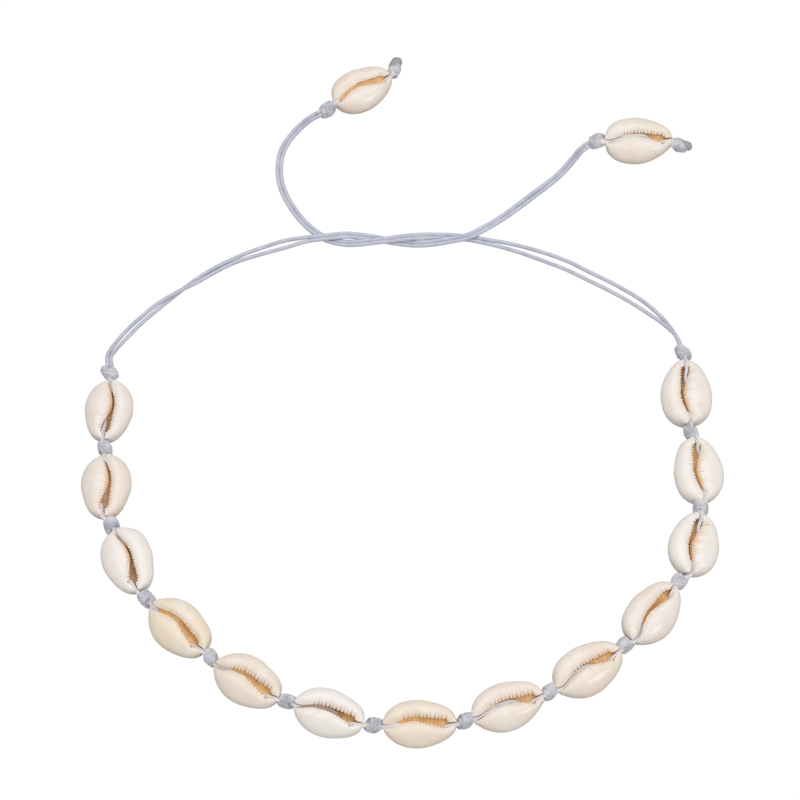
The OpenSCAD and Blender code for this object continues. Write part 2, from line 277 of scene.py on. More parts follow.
def ring_faces(rows, ring):
    """Quads between rows of points that each go round once, and a face over both ends."""
    i, k = np.arange(rows - 1)[:, None], np.arange(ring)[None, :]
    nxt = (k + 1) % ring
    quads = np.stack([i * ring + k, i * ring + nxt, (i + 1) * ring + nxt, (i + 1) * ring + k], axis=-1)
    faces = quads.reshape(-1, 4).tolist()
    faces.append(list(range(ring))[::-1])
    faces.append([(rows - 1) * ring + j for j in range(ring)])
    return faces


def add_mesh(name, points, faces, fields):
    """A smooth mesh object. fields gives a number at each point for each name."""
    mesh = bpy.data.meshes.new(name)
    mesh.from_pydata([tuple(p) for p in points * MM], [], faces)
    for field, values in fields.items():
        layer = mesh.attributes.new(field, "FLOAT", "POINT")
        layer.data.foreach_set("value", np.asarray(values, np.float32))
    mesh.polygons.foreach_set("use_smooth", [True] * len(mesh.polygons))
    mesh.update()
    piece = bpy.data.objects.new(name, mesh)
    bpy.context.scene.collection.objects.link(piece)
    return piece


def dress(piece, material, node):
    """The piece in its material, riding the body and standing for its node."""
    piece.data.materials.append(material)
    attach(piece, "root")
    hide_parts(node)
    return piece


# Materials

BUMP_HEIGHT = 0.05


def srgb(red, green, blue):
    """A colour of the screen, 0 to 255, as a linear colour."""
    return tuple((c / 255) ** 2.2 for c in (red, green, blue)) + (1.0,)


class Shader:
    """A material's node tree, built by short calls."""

    def __init__(self, name):
        self.material = bpy.data.materials.new(name)
        self.material.use_nodes = True
        self.tree = self.material.node_tree
        self.tree.nodes.clear()
        out = self.add("ShaderNodeOutputMaterial")
        self.main = self.add("ShaderNodeBsdfPrincipled")
        self.link(self.main.outputs["BSDF"], out.inputs["Surface"])
        self.place = self.add("ShaderNodeTexCoord").outputs["Object"]

    def add(self, kind, **values):
        """A node with its properties set."""
        node = self.tree.nodes.new(kind)
        for key, value in values.items():
            setattr(node, key, value)
        return node

    def link(self, a, b):
        """A link from output a to input b."""
        self.tree.links.new(a, b)

    def put(self, socket, value):
        """Sets a socket to a number or colour, or links an output to it."""
        if isinstance(value, (float, tuple)):
            socket.default_value = value
        else:
            self.link(value, socket)

    def field(self, name):
        """A value that the mesh holds at each point."""
        return self.add("ShaderNodeAttribute", attribute_name=name).outputs["Fac"]

    def noise(self, size, detail):
        """Soft noise with grains of about the size."""
        node = self.add("ShaderNodeTexNoise")
        node.inputs["Scale"].default_value = 1 / (size * MM)
        node.inputs["Detail"].default_value = detail
        node.inputs["Roughness"].default_value = 0.5
        self.link(self.place, node.inputs["Vector"])
        return node.outputs["Fac"]

    def span(self, value, low, high, to_low=0.0, to_high=1.0):
        """The value mapped smoothly from one range to another."""
        node = self.add("ShaderNodeMapRange", interpolation_type="SMOOTHSTEP")
        node.inputs["From Min"].default_value = low
        node.inputs["From Max"].default_value = high
        node.inputs["To Min"].default_value = to_low
        node.inputs["To Max"].default_value = to_high
        self.link(value, node.inputs["Value"])
        return node.outputs["Result"]

    def mix(self, factor, a, b):
        """Colour a turned to b by the factor."""
        node = self.add("ShaderNodeMix", data_type="RGBA")
        self.link(factor, node.inputs[0])
        self.put(node.inputs[6], a)
        self.put(node.inputs[7], b)
        return node.outputs[2]

    def bump(self, height, strength):
        """Fine relief on the whole material."""
        node = self.add("ShaderNodeBump")
        node.inputs["Strength"].default_value = strength
        node.inputs["Distance"].default_value = BUMP_HEIGHT * MM
        self.link(height, node.inputs["Height"])
        self.link(node.outputs["Normal"], self.main.inputs["Normal"])

    def set(self, **values):
        """Values of the main shader, named as its sockets are."""
        for key, value in values.items():
            self.put(self.main.inputs[key.replace("_", " ")], value)
        return self.material


PINK, CREAM, WHITE = srgb(239, 225, 215), srgb(242, 225, 202), srgb(247, 241, 235)
SAND = srgb(236, 216, 186)
# Lower sides: partly the shells' own warmer side colour, partly painted shade where the sides turn down
# from the light.
PINK_SIDE, CREAM_SIDE, WHITE_SIDE = srgb(204, 178, 156), srgb(178, 138, 94), srgb(240, 230, 220)
# Lips' own peach; tan of the grooves, partly the lips' warm colour and partly painted shade; painted
# shadow for the spot by the cord.
LIP, GROOVE, PIT_SHADOW = srgb(236, 190, 134), srgb(214, 166, 112), srgb(130, 112, 102)
# Inside the hollow: gold is painted light glowing through the thin shell, brown its painted shaded copy;
# each has random darker patches.
BROWN, DEEP_BROWN = srgb(196, 150, 114), srgb(174, 124, 88)
GOLD, DEEP_GOLD = srgb(242, 198, 128), srgb(230, 176, 104)
# Melted cord ends; and painted shade for the cord lying deep in a shell's slot.
MELTED, SHADED_CORD = srgb(158, 162, 162), srgb(166, 140, 126)


def shell_material():
    """Glossy enamel, tinted by the fields of a shell's mesh."""
    s = Shader("cowrie_enamel")
    body = s.mix(s.field("yellow"), PINK, CREAM)
    body = s.mix(s.field("pale"), body, WHITE)
    body = s.mix(s.span(s.noise(6, 2), 0.45, 0.7, 0, 0.55), body, WHITE)
    body = s.mix(s.span(s.noise(3.5, 3), 0.55, 0.75, 0, 0.5), body, SAND)
    # The lower sides turn towards these colours: painted shade, with the sides' own warmer tint.
    side = s.mix(s.field("yellow"), PINK_SIDE, CREAM_SIDE)
    side = s.mix(s.field("pale"), side, WHITE_SIDE)
    body = s.mix(s.span(s.field("flank_tint_and_shade"), 0, 1, 0, 0.8), body, side)
    body = s.mix(s.span(s.field("lip"), 0, 1, 0, 0.9), body, LIP)
    # Tan in the valleys between the teeth: partly the lips' own colour, partly painted shade.
    body = s.mix(s.span(s.field("groove"), 0.05, 0.8, 0, 0.75), body, GROOVE)
    # The hollow's painted light: glowing gold and its shaded brown copy, in random patches.
    patches = s.span(s.noise(2, 2), 0.35, 0.65)
    brown = s.mix(patches, BROWN, DEEP_BROWN)
    golden = s.mix(patches, GOLD, DEEP_GOLD)
    golden = s.mix(s.field("golden"), brown, golden)
    body = s.mix(s.field("inside"), body, golden)
    # A painted shadow spot by the columellar lip, beside the cord where it comes up from under the lip.
    body = s.mix(s.field("pit"), body, PIT_SHADOW)
    s.bump(s.noise(0.5, 2), 0.05)
    return s.set(
        Base_Color=body, Roughness=0.36, Subsurface_Weight=0.12, Subsurface_Scale=0.5 * MM,
        Coat_Weight=0.6, Coat_Roughness=0.15,
    )


def cord_material(name, light, dark, mark, grain):
    """Waxed cord with soft patches, painted shade between its plies, and the mark colour where its mesh
    says: melted ends on knots, painted shade on the cord deep in the shells.
    """
    s = Shader(name)
    body = s.mix(s.span(s.noise(2.5, 3), 0.35, 0.7), light, dark)
    # Painted shade in the grooves between the plies.
    body = s.mix(s.span(s.field("groove"), 0.3, 1, 0, 0.08), body, dark)
    body = s.mix(s.field("marked"), body, mark)
    s.bump(s.noise(0.12, 2), grain)
    return s.set(Base_Color=body, Roughness=0.48, Sheen_Weight=0.1)


ENAMEL = shell_material()
CORD = cord_material("waxed_cord", srgb(203, 205, 219), srgb(188, 191, 208), MELTED, 0.06)
# Its mark is painted shade, where the cord lies deep in a slot.
THREAD = cord_material("waxed_cord_inside", srgb(236, 231, 233), srgb(216, 212, 216), SHADED_CORD, 0.15)
KNOT = cord_material("waxed_knot", srgb(216, 215, 221), srgb(176, 176, 186), MELTED, 0.25)


# Cord

STRAND_D = 1.06
STRAND_SIDES = 15
STRAND_STEP = 0.22
# Plies of a strand: their number, length of one turn, and depth between them over the radius
PLIES = 3
PLY_PITCH = 2.4
PLY_RELIEF = 0.006
# Every so many of a strand's points goes into a list of its path.
PATH_STRIDE = 4


def carried_normals(line):
    """Tangents, and normals that are carried along a line without twisting."""
    tangent = np.gradient(line, axis=0)
    tangent /= np.linalg.norm(tangent, axis=1)[:, None]
    normal = np.empty_like(line)
    first = np.cross([0, 0, 1], tangent[0])
    if np.linalg.norm(first) < 0.1:
        first = np.cross([0, 1, 0], tangent[0])
    normal[0] = first / np.linalg.norm(first)
    for i in range(1, len(line)):
        n = normal[i - 1] - tangent[i] * (normal[i - 1] @ tangent[i])
        normal[i] = n / np.linalg.norm(n)
    return tangent, normal


def sweep(line, radius, sides, pressed=None):
    """Points, faces and groove field of a twisted cord along a line.

    pressed, where given, is a direction at each point in which the cord is flattened, and how far.
    """
    tangent, normal = carried_normals(line)
    binormal = np.cross(tangent, normal)
    along = np.concatenate([[0], np.cumsum(np.linalg.norm(np.diff(line, axis=0), axis=1))])
    angle = np.linspace(0, 2 * math.pi, sides, endpoint=False)
    ply = np.cos(PLIES * (angle[None, :] - 2 * math.pi * along[:, None] / PLY_PITCH))
    r = (np.broadcast_to(radius, len(line))[:, None]) * (1 + PLY_RELIEF * (ply - 1) / 2)
    ring = (
        np.cos(angle)[None, :, None] * normal[:, None, :]
        + np.sin(angle)[None, :, None] * binormal[:, None, :]
    )
    if pressed is not None:
        ways, amount = pressed
        out = np.einsum("ijk,ik->ij", ring, ways)
        ring = ring - amount * out[:, :, None] * ways[:, None, :]
    points = line[:, None, :] + r[:, :, None] * ring
    return points.reshape(-1, 3), ring_faces(len(line), sides), ((1 - ply) / 2).reshape(-1)


def add_sweeps(name, sweeps):
    """One mesh object from several sweeps. A fourth item of a sweep says how far it is marked."""
    points, faces, groove, marked, start = [], [], [], [], 0
    for p, f, g, *marks in sweeps:
        points.append(p)
        groove.append(g)
        marked.append(marks[0] if marks else 0 * g)
        faces += [[i + start for i in face] for face in f]
        start += len(p)
    fields = {"groove": np.concatenate(groove), "marked": np.concatenate(marked)}
    return add_mesh(name, np.concatenate(points), faces, fields)


def strand_route(rows, side):
    """Route of one strand of a tie, side 1 or -1, worked out as the CAD source does it."""
    rows = np.array(rows, float)
    line = rows[:, :3]
    d = np.empty_like(line)
    d[1:-1] = line[2:] - line[:-2]
    d[0], d[-1] = line[1] - line[0], line[-1] - line[-2]
    tangent = d / np.linalg.norm(d, axis=1)[:, None]
    level = np.hypot(tangent[:, 0], tangent[:, 1])
    normal = np.stack([-tangent[:, 1] / level, tangent[:, 0] / level, 0 * level], axis=1)
    up = np.cross(tangent, normal)
    turn = np.radians(rows[:, 3])[:, None]
    spread = rows[:, 4][:, None]
    return line + side * spread / 2 * (np.cos(turn) * normal + np.sin(turn) * up)


def add_tie(node, rows, side):
    """One strand of a tie, with its route and its length."""
    line = smooth_line(strand_route(rows, side), STRAND_STEP)
    line[:, 2] = np.maximum(line[:, 2], STRAND_D / 2)
    piece = add_sweeps(node + "_strand", [sweep(line, STRAND_D / 2, STRAND_SIDES)])
    length = np.linalg.norm(np.diff(line, axis=0), axis=1).sum()
    return dress(piece, CORD, node), line, length


TIES = {}
for tie, rows in (("left", TIE_LEFT), ("right", TIE_RIGHT)):
    for letter, side in (("a", 1), ("b", -1)):
        TIES[tie, letter] = add_tie(f"tie_{tie}_{letter}", rows, side)


# Shells

# Rings of points along a shell, and points of a ring on each of its parts
STATIONS = 190
LOBE_IN, BACK, LOBE_OUT, HOLLOW = 24, 18, 26, 28
# Both tips: half width, height over the widest line, depth below it, and height of the canals
TIP = 1.15
TIP_UP = 1.5
TIP_DOWN = 1.65
CANAL_Z = -0.15
# Factor on the width in an outline, height over width, and share of it above the widest line
SLIM = 0.965
HEIGHT_RATIO = 0.74
BASE_SHARE = 0.34
# Outline's squareness: [behind, in front], and that of a section of the base
OUTLINE_POWERS = [2.35, 1.35]
TOP_POWER = 2.2
# Radius of the lips' edges: [at the tips, what it gains towards the middle]
CREST = [0.12, 0.16]
# How far the base falls towards both lips at the tips, what each side's fall gains in the
# middle, and over what distance each side falls
LIP_DROP, LABRAL_DROP, COLUMELLAR_DROP = 0.35, 0.65, 0.45
LABRAL_DROP_REACH, COLUMELLAR_DROP_REACH = 1.1, 0.9
# Points of a side crowd towards its lip by this power.
CROWDING = 1.5
# Aperture along a shell: [way from the rounded end, centre over half the width, gap]
SLOT = np.array([
    [0.00, -0.06, 1.05],
    [0.05, -0.10, 1.0],
    [0.12, -0.06, 0.85],
    [0.20, 0.03, 0.7],
    [0.28, 0.10, 0.6],
    [0.37, 0.15, 0.6],
    [0.46, 0.17, 0.75],
    [0.57, 0.13, 1.0],
    [0.68, 0.07, 1.35],
    [0.78, 0.02, 1.7],
    [0.84, 0.00, 1.8],
    [0.87, -0.02, 1.5],
    [0.89, -0.04, 1.15],
    [0.91, -0.06, 0.95],
    [1.00, -0.03, 0.85],
])
# Teeth, as a way from the rounded end: [start, full strength, fade, end]
LABRAL_TEETH = [0.2, 0.3, 0.87, 0.93]
COLUMELLAR_TEETH = [0.16, 0.3, 0.86, 0.92]
# Spacing of the teeth: [of small ones, what long ridges add]
LABRAL_PITCH = [0.80, 0.18]
COLUMELLAR_PITCH = [0.76, 0.12]
# How much the ridges spread out along the shell for each millimetre from the lip
LABRAL_FAN, COLUMELLAR_FAN = 0.022, 0.05
# Ridges: [depth of short ones, their length, depth of long ones, their length]
LABRAL_RIDGES = [0.04, 0.4, 0.09, 2.2]
COLUMELLAR_RIDGES = [0.03, 0.5, 0.02, 2.4]
# Depth of the columellar notches: [all along, more where the lip shows its teeth]
COLUMELLAR_NOTCH = [0.03, 0.24]
# Side wave of the teeth: [amount, pace], twice
WAVES = [0.1, 1.9, 0.05, 4.3]
# Value of a field on the parts of a shell that it leaves out
NONE = np.zeros((1, 1))


def fullness(c):
    """Half width along a shell as a share of its greatest: blunt behind, pointed in front."""
    behind = np.sqrt(np.clip(1 - np.abs(c) ** OUTLINE_POWERS[0], 0, 1))
    ahead = np.clip(1 - np.abs(c) ** OUTLINE_POWERS[1], 0, 1) ** 0.4
    return np.where(c < 0, behind, ahead)


def half_width(width, egg, c):
    """Half width along a shell of the plain form."""
    return np.sqrt(TIP**2 + (SLIM * width / 2 * (1 - egg * c) * fullness(c)) ** 2)


def fuller(width, behind, front, c):
    """What one side adds to the half width towards both ends, apart from the tips."""
    ends = behind * ramp(-c, 0.2, 0.9) + front * ramp(c, 0.2, 0.9)
    return width / 2 * ends * (1 - ramp(np.abs(c), 0.9, 1))


def stations(length, width, egg):
    """Places along a shell, -1 to 1, evenly spaced along its outline."""
    c = np.sin(np.linspace(-1, 1, 4001) * math.pi / 2)
    hw = half_width(width, egg, c)
    s = np.concatenate([[0], np.cumsum(np.hypot(np.diff(c * length / 2), np.diff(hw)))])
    return np.interp(np.linspace(0, s[-1], STATIONS), s, c)


def lips(row, look, c):
    """Middle and width of the aperture, height of the base and its drops towards both lips."""
    t, full = (c + 1) / 2, fullness(c)
    widen = (look.slot - 1) * ramp(full, 0.2, 0.7) * (1 - ramp(t, 0.5, 0.72))
    middle = np.interp(t, SLOT[:, 0], SLOT[:, 1]) * row.width / 2
    gap = np.interp(t, SLOT[:, 0], SLOT[:, 2]) * (1 + widen)
    gap += look.open * ramp(t, 0.04, 0.2) * (1 - ramp(t, 0.55, 0.8))
    up = TIP_UP + (HEIGHT_RATIO * BASE_SHARE * row.width - TIP_UP) * full**0.7
    sunk = ramp(full, 0.1, 0.8)
    return middle, gap, up, LIP_DROP + LABRAL_DROP * sunk, LIP_DROP + COLUMELLAR_DROP * sunk


def lobe(edge, lip, hw, up, drop, reach, count):
    """Section of one side of the base, from the aperture's crest out to the margin.

    Returns y, z, distance from the crest and the outward normal, at count points.
    The lobe falls by drop towards lip, over about the distance reach.
    """
    q = np.linspace(0, 1, 80)[None, :]
    y = edge[:, None] + (hw - edge)[:, None] * np.sin(q * math.pi / 2)
    z = up[:, None] * (1 - np.clip(np.abs(y) / hw[:, None], 0, 1) ** TOP_POWER) ** (1 / TOP_POWER)
    z = z - drop[:, None] * np.exp(-np.maximum(y - lip[:, None], 0) / reach)
    s = np.concatenate(
        [np.zeros((len(edge), 1)), np.cumsum(np.hypot(np.diff(y), np.diff(z)), axis=1)], axis=1
    )
    share = np.linspace(0, 1, count) ** CROWDING
    out = [np.empty((len(edge), count)) for _ in range(3)]
    for i in range(len(edge)):
        at = share * s[i, -1]
        for values, source in zip(out, (y, z, s)):
            values[i] = np.interp(at, s[i], source[i])
    y, z, s = out
    dy, dz = np.gradient(y, axis=1), np.gradient(z, axis=1)
    size = np.hypot(dy, dz) + 1e-9
    return y, z, s, -dz / size, dy / size


def valleys(at, pitch, offset):
    """0 on each tooth and 1 between the teeth."""
    return 1 - (0.5 + 0.5 * np.cos(2 * math.pi * (at / pitch + offset))) ** 1.4


def ridges(s, sizes, long_share):
    """Depth of the ridges beside a lip at the distance s from it."""
    short, short_length, long, long_length = sizes
    return short * bell(s, short_length) + long * long_share * bell(s, long_length)


def spline_rows(controls, count):
    """Catmull-Rom curve through controls [point][station], count points inside its ends."""
    p = np.stack(controls, axis=1)
    n = p.shape[1]
    at = np.linspace(0, n - 1, count + 2)[1:-1]
    i = np.clip(at.astype(int), 0, n - 2)
    u = (at - i)[None, :, None]
    before, after = np.clip(i - 1, 0, n - 1), np.clip(i + 2, 0, n - 1)
    a, b, c, d = p[:, before], p[:, i], p[:, i + 1], p[:, after]
    return 0.5 * (
        2 * b + (c - a) * u + (2 * a - 5 * b + 4 * c - d) * u**2 + (3 * b - a - 3 * c + d) * u**3
    )


def all_round(labral=NONE, back=NONE, columellar=NONE, hollow=NONE):
    """One value at each point of a shell, from its values on each part of the rings."""
    parts = ((labral, LOBE_IN), (back, BACK), (columellar[:, ::-1], LOBE_OUT), (hollow, HOLLOW))
    return np.concatenate(
        [np.broadcast_to(part, (STATIONS, count)) for part, count in parts], axis=1
    )


class Cowrie:
    """A shell in its own frame: X towards its pointed end, Y to its labral side, Z up.

    Values whose names end in _in belong to the labral side, in _out to the columellar side.
    """

    def __init__(self, row, look, more, seed):
        self.look, self.roll = look, row.roll
        self.width = row.width * look.wide
        self.c = stations(row.length, self.width, look.egg)
        self.t = (self.c + 1) / 2
        self.x = self.c * row.length / 2
        self.full = fullness(self.c)
        hw = half_width(self.width, look.egg, self.c)
        self.hw_in = hw + fuller(self.width, *more[:2], self.c)
        self.hw_out = hw + fuller(self.width, *more[2:], self.c)
        self.middle, self.gap, self.up, self.drop_in, self.drop_out = lips(row, look, self.c)
        self.lip_in, self.lip_out = self.middle + self.gap / 2, -self.middle + self.gap / 2
        self.crest = CREST[0] + CREST[1] * ramp(self.full, 0.1, 0.6)
        self.set_teeth(np.random.default_rng(seed).uniform(0, 1, 3))
        self.shape_sides()
        self.shape_hollow()

    def set_teeth(self, shift):
        """Where each lip is toothed, and the spacing, waves and notches of its teeth."""
        look, t, x = self.look, self.t, self.x
        self.shift = shift
        self.labral = between(t, *LABRAL_TEETH)
        self.columellar = between(t, *COLUMELLAR_TEETH)
        first = max(0.4 + 0.22 * look.smooth, (look.sink + 1) / 2)
        self.bitten = between(t, first, first + 0.15, 0.88, 0.93)
        amount, pace, fine_amount, fine_pace = WAVES
        wave, fine_wave = np.sin(pace * x + 6 * shift[0]), np.sin(fine_pace * x + 6 * shift[1])
        self.wobble = amount * wave + fine_amount * fine_wave
        self.pitch_in = LABRAL_PITCH[0] + LABRAL_PITCH[1] * look.ridge
        self.pitch_out = COLUMELLAR_PITCH[0] + COLUMELLAR_PITCH[1] * look.ridge
        uneven = 1 + 0.3 * np.sin(3.1 * x + 6 * shift[2])
        self.notch = look.notch * self.labral * uneven

    def shape_sides(self):
        """Both sides of the base, with their teeth, and the back under them."""
        look, crest, shift, at = self.look, self.crest, self.shift, self.x + self.wobble
        edge_in = self.lip_in + self.notch * valleys(at, self.pitch_in, shift[0])
        bite = COLUMELLAR_NOTCH[0] * self.columellar + COLUMELLAR_NOTCH[1] * self.bitten
        edge_out = self.lip_out + bite * valleys(at, self.pitch_out, shift[1])
        y_in, z_in, s_in, ny_in, nz_in = lobe(
            edge_in + crest, self.lip_in + crest, self.hw_in, self.up, self.drop_in,
            LABRAL_DROP_REACH, LOBE_IN,
        )
        y_out, z_out, s_out, ny_out, nz_out = lobe(
            edge_out + crest, self.lip_out + crest, self.hw_out, self.up, self.drop_out,
            COLUMELLAR_DROP_REACH, LOBE_OUT,
        )
        x, wobble = self.x[:, None], self.wobble[:, None]
        self.valley_in = valleys(x * (1 - LABRAL_FAN * s_in) + wobble, self.pitch_in, shift[0])
        self.valley_out = valleys(x * (1 - COLUMELLAR_FAN * s_out) + wobble, self.pitch_out, shift[1])
        cut_in = self.labral[:, None] * ridges(s_in, LABRAL_RIDGES, look.ridge) * self.valley_in
        cut_out = self.columellar[:, None] * ridges(s_out, COLUMELLAR_RIDGES, 1) * self.valley_out
        self.y_in, self.z_in, self.s_in = y_in - cut_in * ny_in, z_in - cut_in * nz_in, s_in
        self.y_out, self.z_out, self.s_out = y_out - cut_out * ny_out, z_out - cut_out * nz_out, s_out

        angle = -np.linspace(0, math.pi, BACK + 2)[1:-1]
        sum_hw, difference = self.hw_in + self.hw_out, self.hw_in - self.hw_out
        self.y_back = (difference[:, None] + sum_hw[:, None] * np.cos(angle)) / 2
        down_mid = HEIGHT_RATIO * self.width * (1 - BASE_SHARE)
        down = TIP_DOWN + (down_mid - TIP_DOWN) * self.full * (1 - (look.egg + 0.04) * self.c)
        self.z_back = down[:, None] * np.sin(angle)

    def shape_hollow(self):
        """The hollow, from the columellar lip round under it to the labral lip."""
        look, gap, crest = self.look, self.gap, self.crest
        m = ramp(self.full, 0.05, 0.75)
        self.smooth = look.smooth * (1 - ramp(self.t, 0.52, 0.7))
        smooth = self.smooth
        shelf = 0.5 * gap * smooth * m
        yl, zl = self.y_in[:, 0] - crest, self.z_in[:, 0]
        yc, zc = -(self.y_out[:, 0] - crest), self.z_out[:, 0]
        low = np.minimum(zl, zc)
        lip = crest + 0.1
        inner_in = self.lip_in + 0.5 * self.notch
        inner_out = self.middle - gap / 2
        side_in = inner_in + 0.5 * m
        side_out = inner_out + shelf - 1.3 * (1 - smooth) * m
        floor_y = (side_in + side_out) / 2
        depth = look.depth * (1 - 0.45 * (1 - look.smooth) * (1 - ramp(self.t, 0.35, 0.6)))
        floor_z = (1 - m) * (CANAL_Z - 1.0) + m * (low - depth)
        mid_z = (floor_z + low - lip) / 2
        slope_z = mid_z + smooth * m * (low - lip - 0.6 - mid_z)
        walls = [
            (yc - crest, zc),
            (yc - 0.3 * crest, zc - 0.2 * crest),
            (yc + 0.15 * shelf, zc - lip),
            (inner_out - 0.15 * (1 - smooth) * m + 0.5 * shelf, zc - lip - 0.35),
            (side_out, slope_z),
            (0.6 * side_out + 0.4 * floor_y, floor_z + 0.2),
            (floor_y, floor_z),
            (0.5 * side_in + 0.5 * floor_y, floor_z + 0.2),
            (side_in, mid_z),
            (inner_in + 0.1 * m, zl - lip - 0.35),
            (yl, zl - lip),
            (yl + 0.3 * crest, zl - 0.2 * crest),
            (yl + crest, zl),
        ]
        self.hollow = spline_rows([np.stack(w, axis=-1) for w in walls], HOLLOW)

    def mesh(self):
        """Points, faces, and the fields that the enamel reads."""
        y = all_round(self.y_in, self.y_back, -self.y_out, self.hollow[:, :, 0])
        z = all_round(self.z_in, self.z_back, self.z_out, self.hollow[:, :, 1])
        # The lips reach a little past the canals at both ends.
        lean = np.clip((z - CANAL_Z) / 1.5, -1, 1) * ramp(-self.full, -0.45, -0.05)[:, None]
        x = self.x[:, None] + np.sign(self.c)[:, None] * (0.22 * lean - 0.05)
        points = np.stack([x, y + self.look.aside, z], axis=-1).reshape(-1, 3)
        fields = {name: values.ravel() for name, values in self.fields(z).items()}
        return points, ring_faces(*z.shape), fields

    def fields(self, z):
        """Each field at each point: painted glow and shade in the hollow, a painted shadow spot by the
        cord, tan in the grooves and on the lower sides that is partly painted shade, and the tints.
        """
        look, t, s_in, s_out = self.look, self.t, self.s_in, self.s_out
        along_in, along_out = self.labral[:, None], self.columellar[:, None]
        bitten = self.bitten[:, None]
        way = np.linspace(0, 1, HOLLOW)
        covered = look.smooth
        rim = 0.1 * (1 - covered)
        dark = [0.1 + 0.1 * covered, 0.2 + 0.25 * covered, 0.7 + rim, 0.92 + 0.4 * rim]
        lip_side = np.interp(way, [0, 0.1, 0.35, 0.5, 0.8, 0.95], [0.8, 1, 1, 0, 0.2, 0.2])
        band = between(t, 0.02, 0.06, 0.8, 0.9) * (0.2 + 0.8 * self.smooth)
        band = band * (0.4 + 0.6 * ramp(t, 0.1, 0.3))
        fan_tint = 0.12 * look.line**2 * along_out * bell(s_out, 2.0)
        edge_tint = 0.7 * band[:, None] * bell(s_out, 0.35) + 0.2 * along_out * bell(s_out, 0.3)
        # Tan in the valleys of the teeth and lines, and on the hollow's walls under them: partly the lips'
        # own colour, partly painted shade.
        ridge_tint = 2.5 * look.notch * bell(s_in, 0.3) + 0.5 * look.ridge * bell(s_in, 2.2)
        uneven = 0.7 + 0.5 * np.sin(2.3 * self.x + 9 * self.shift[1])[:, None]
        fine = 0.5 * look.line * uneven * ramp(s_out, 0.2, 0.6) * bell(s_out, 2.4)
        line_tint = along_out * (0.25 * bell(s_out, 0.4) + fine) + 0.2 * bitten * bell(s_out, 0.22)
        notch_tint = (4 * look.notch * self.labral * self.valley_in[:, 0])[:, None]
        notch_tint = notch_tint * ramp(way, 0.75, 0.9)
        bite_tint = 0.6 * bitten * self.valley_out[:, :1] * (1 - ramp(way, 0.08, 0.2))
        # A painted shadow spot in the gap beside the cord where it comes up at rise.
        pit_shadow = look.pit * bell(self.c - look.rise + 0.01, 0.035)[:, None]
        return {
            # Where the hollow takes its painted glow and shade
            "inside": all_round(hollow=np.interp(way, dark, [0, 1, 1, 0])),
            "lip": all_round(
                labral=0.15 * along_in * bell(s_in, 0.3),
                columellar=edge_tint + fan_tint,
                hollow=np.maximum(band, 0.25)[:, None] * lip_side,
            ),
            "groove": all_round(
                labral=along_in * ridge_tint * self.valley_in**1.5,
                columellar=line_tint * self.valley_out**2,
                hollow=notch_tint + bite_tint,
            ),
            "pit": all_round(columellar=pit_shadow * bell(s_out - 0.2, 0.28)),
            # Darker and warmer towards the bottom, and more on shells rolled further: painted shade,
            # partly the sides' own tint.
            "flank_tint_and_shade": ramp(-z, -1.8, 3.0) * (0.35 + 0.05 * self.roll),
            "yellow": np.full(z.shape, look.yellow),
            "pale": np.full(z.shape, look.white),
            "golden": np.full(z.shape, look.golden),
        }


def placed(row, points, lift):
    """Points of a shell's own frame in the necklace's frame."""
    heading, roll = math.radians(row.heading), math.radians(row.roll)
    y = points[:, 1] * math.cos(roll) - points[:, 2] * math.sin(roll)
    z = points[:, 1] * math.sin(roll) + points[:, 2] * math.cos(roll)
    return np.stack([
        row.x + points[:, 0] * math.cos(heading) - y * math.sin(heading),
        row.y + points[:, 0] * math.sin(heading) + y * math.cos(heading),
        z + lift,
    ], axis=1)


def shell_lift(row, points):
    """How far a shell is lifted so that its lowest point lies on the floor."""
    roll = math.radians(row.roll)
    return -(points[:, 1] * math.sin(roll) + points[:, 2] * math.cos(roll)).min()


def add_shell(node, row, seed):
    """A shell's piece, and its lift."""
    points, faces, fields = Cowrie(row, LOOKS[node], FULLER[node], seed).mesh()
    lift = shell_lift(row, points)
    piece = add_mesh(node.replace("shell", "cowrie"), placed(row, points, lift), faces, fields)
    return dress(piece, ENAMEL, node), lift


SHELL_ROWS = {f"shell_{i + 1:02d}": row for i, row in enumerate(LOOP_SHELLS)}
SHELL_ROWS.update({"end_shell_" + side: row for side, row in END_SHELLS.items()})
SHELL_PIECES, LIFTS = {}, {}
for seed, (node, row) in enumerate(SHELL_ROWS.items()):
    SHELL_PIECES[node], LIFTS[node] = add_shell(node, row, seed)


# Places of the knots

KNOT_LENGTH = 4.5
Knot = namedtuple("Knot", "middle heading length")


def knot_places():
    """Middle, heading and length of each knot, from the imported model's own knots."""
    headings = {node: heading for node, (_, _, heading) in END_KNOTS.items()}
    lengths = {node: KNOT_LENGTH for node in headings}
    for i, (a, b) in enumerate(zip(LOOP_SHELLS, LOOP_SHELLS[1:])):
        way_a, way_b = compass(a.heading), compass(b.heading)
        gap = np.array(b[:2]) - way_b * b.length / 2 - a[:2] - way_a * a.length / 2
        way = gap / np.linalg.norm(gap) + way_a + way_b
        node = f"knot_{i + 2:02d}"
        headings[node] = math.degrees(math.atan2(way[1], way[0]))
        lengths[node] = min(KNOT_LENGTH, np.linalg.norm(gap) + 0.5)
    places = {}
    for node in headings:
        low, high = (np.array(corner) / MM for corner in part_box(node))
        middle = (low + high) / 2
        if node in END_KNOTS:
            middle[:2] = END_KNOTS[node][:2]
        places[node] = Knot(middle, headings[node], lengths[node])
    return places


KNOT_PLACES = knot_places()


# Cord through the shells

THREAD_R = 0.42
THREAD_SIDES = 16
THREAD_STEP = 0.3
# How far under a lip the cord hides, and how far under the floor of the hollow
THREAD_ASIDE = 0.9
THREAD_UNDER = 0.4
# The strands' radius over THREAD_R: [all along, what a strand gains where it takes painted shade]
THREAD_FORM = [0.66, 0.14]


